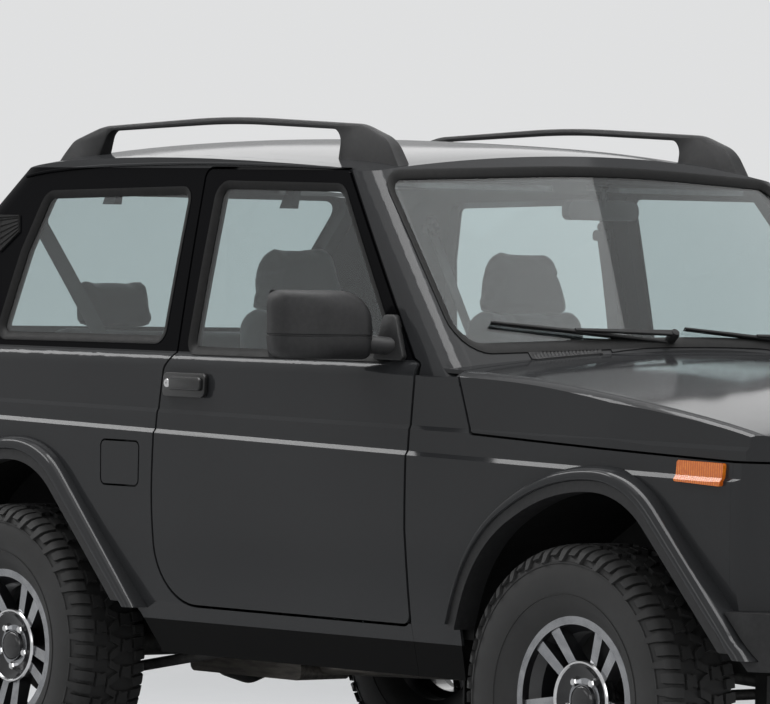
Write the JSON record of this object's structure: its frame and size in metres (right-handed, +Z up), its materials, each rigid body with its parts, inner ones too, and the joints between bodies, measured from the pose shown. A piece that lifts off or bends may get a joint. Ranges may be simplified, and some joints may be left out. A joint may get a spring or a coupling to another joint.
{
  "type": "off-road car",
  "caption": "Boxy short off-road 4x4 on raised suspension with chunky tyres, roof rails, wheel-arch flares and hinged doors, bonnet and tailgate.",
  "frame": {"origin": "on the ground, under the middle of the overall length and width", "axes": "+X towards the nose, +Y towards the car's left (driver's) side, +Z up"},
  "size_m": [3.7398, 2.057, 1.7219],
  "materials": {
    "body_paint": "metallic gloss",
    "black_paint": "gloss",
    "underbody": "satin",
    "tinted_glass": "polished",
    "lamp_glass": "polished",
    "amber_lens": "gloss",
    "red_lens": "gloss",
    "black_plastic": "grained",
    "cabin_plastic": "grained",
    "seat_fabric": "woven",
    "flap_rubber": "matt",
    "tyre": "matt",
    "alloy": "machined",
    "cast_metal": "as cast",
    "light_alloy": "as cast",
    "pipe_steel": "dull"
  },
  "bodies": {
    "body": {"floor_pan": "underbody", "side_panel_left": "body_paint", "side_panel_right": "body_paint", "roof_panel": "body_paint", "front_wing_left": "body_paint", "front_wing_right": "body_paint", "nose_panel": "body_paint", "scuttle": "body_paint", "tail_panel": "body_paint", "fixed_glass": "tinted_glass", "arch_flares": "body_paint", "arch_lips": "black_plastic", "arch_liners": "black_plastic", "bumpers": "black_plastic", "mud_flaps": "flap_rubber", "grille": "black_plastic", "headlamps": "lamp_glass", "indicators": "amber_lens", "tail_lamps": "red_lens", "wipers": "black_plastic", "roof_rails": "black_paint", "dashboard": "cabin_plastic", "front_seats": "seat_fabric", "seat_frames": "underbody", "rear_seat": "seat_fabric", "engine_block": "cast_metal", "gearbox": "light_alloy", "exhaust": "pipe_steel", "front_structure": "underbody", "suspension_arms": "cast_metal", "springs": "black_paint", "driveline": "cast_metal", "rear_axle": "cast_metal"},
    "bonnet": {"bonnet": "body_paint"},
    "tailgate": {"tailgate": "body_paint", "tailgate_glass": "tinted_glass"},
    "fuel_flap": {"fuel_flap": "body_paint"},
    "steering_wheel": {"steering_wheel": "cabin_plastic"},
    "door_left": {"door_left": "body_paint", "door_glass_left": "tinted_glass", "door_fittings_left": "black_plastic"},
    "door_right": {"door_right": "body_paint", "door_glass_right": "tinted_glass", "door_fittings_right": "black_plastic"},
    "knuckle_left": {"knuckle_left": "cast_metal"},
    "knuckle_right": {"knuckle_right": "cast_metal"},
    "wheel_fl": {"tyre_fl": "tyre", "rim_fl": "alloy"},
    "wheel_fr": {"tyre_fr": "tyre", "rim_fr": "alloy"},
    "wheel_rl": {"tyre_rl": "tyre", "rim_rl": "alloy"},
    "wheel_rr": {"tyre_rr": "tyre", "rim_rr": "alloy"}
  },
  "joints": [
    {"name": "steer_left", "type": "hinge", "parent": "body", "child": "knuckle_left", "pos_m": [1.152, 0.63, 0.364], "axis": [0, 0, 1], "range_deg": [-28, 28]},
    {"name": "steer_right", "type": "hinge", "parent": "body", "child": "knuckle_right", "pos_m": [1.152, -0.63, 0.364], "axis": [0, 0, 1], "range_deg": [-28, 28]},
    {"name": "steering_column", "type": "hinge", "parent": "body", "child": "steering_wheel", "pos_m": [0.247, 0.36, 0.965], "axis": [-0.8829, 0, 0.4695], "range_deg": [-450, 450]},
    {"name": "door_left_hinge", "type": "hinge", "parent": "body", "child": "door_left", "pos_m": [0.588, 0.793, 0.76], "axis": [0, 0, -1], "range_deg": [0, 60]},
    {"name": "door_right_hinge", "type": "hinge", "parent": "body", "child": "door_right", "pos_m": [0.588, -0.793, 0.76], "axis": [0, 0, 1], "range_deg": [0, 60]},
    {"name": "bonnet_hinge", "type": "hinge", "parent": "body", "child": "bonnet", "pos_m": [1.798, 0, 0.928], "axis": [0, 1, 0], "range_deg": [0, 60]},
    {"name": "tailgate_hinge", "type": "hinge", "parent": "body", "child": "tailgate", "pos_m": [-1.243, 0, 1.59], "axis": [0, 1, 0], "range_deg": [0, 78]},
    {"name": "fuel_flap_hinge", "type": "hinge", "parent": "body", "child": "fuel_flap", "pos_m": [-0.468, -0.803, 0.852], "axis": [0, 0, 1], "range_deg": [0, 85]},
    {"name": "spin_fl", "type": "hinge", "parent": "knuckle_left", "child": "wheel_fl", "pos_m": [1.152, 0.72, 0.364], "axis": [0, 1, 0], "continuous": true},
    {"name": "spin_fr", "type": "hinge", "parent": "knuckle_right", "child": "wheel_fr", "pos_m": [1.152, -0.72, 0.364], "axis": [0, 1, 0], "continuous": true},
    {"name": "spin_rl", "type": "hinge", "parent": "body", "child": "wheel_rl", "pos_m": [-1.048, 0.72, 0.364], "axis": [0, 1, 0], "continuous": true},
    {"name": "spin_rr", "type": "hinge", "parent": "body", "child": "wheel_rr", "pos_m": [-1.048, -0.72, 0.364], "axis": [0, 1, 0], "continuous": true}
  ],
  "couplings": [
    {"joint": "steer_right", "follows": "steer_left", "ratio": 1},
    {"joint": "steering_column", "follows": "steer_left", "ratio": 16}
  ]
}
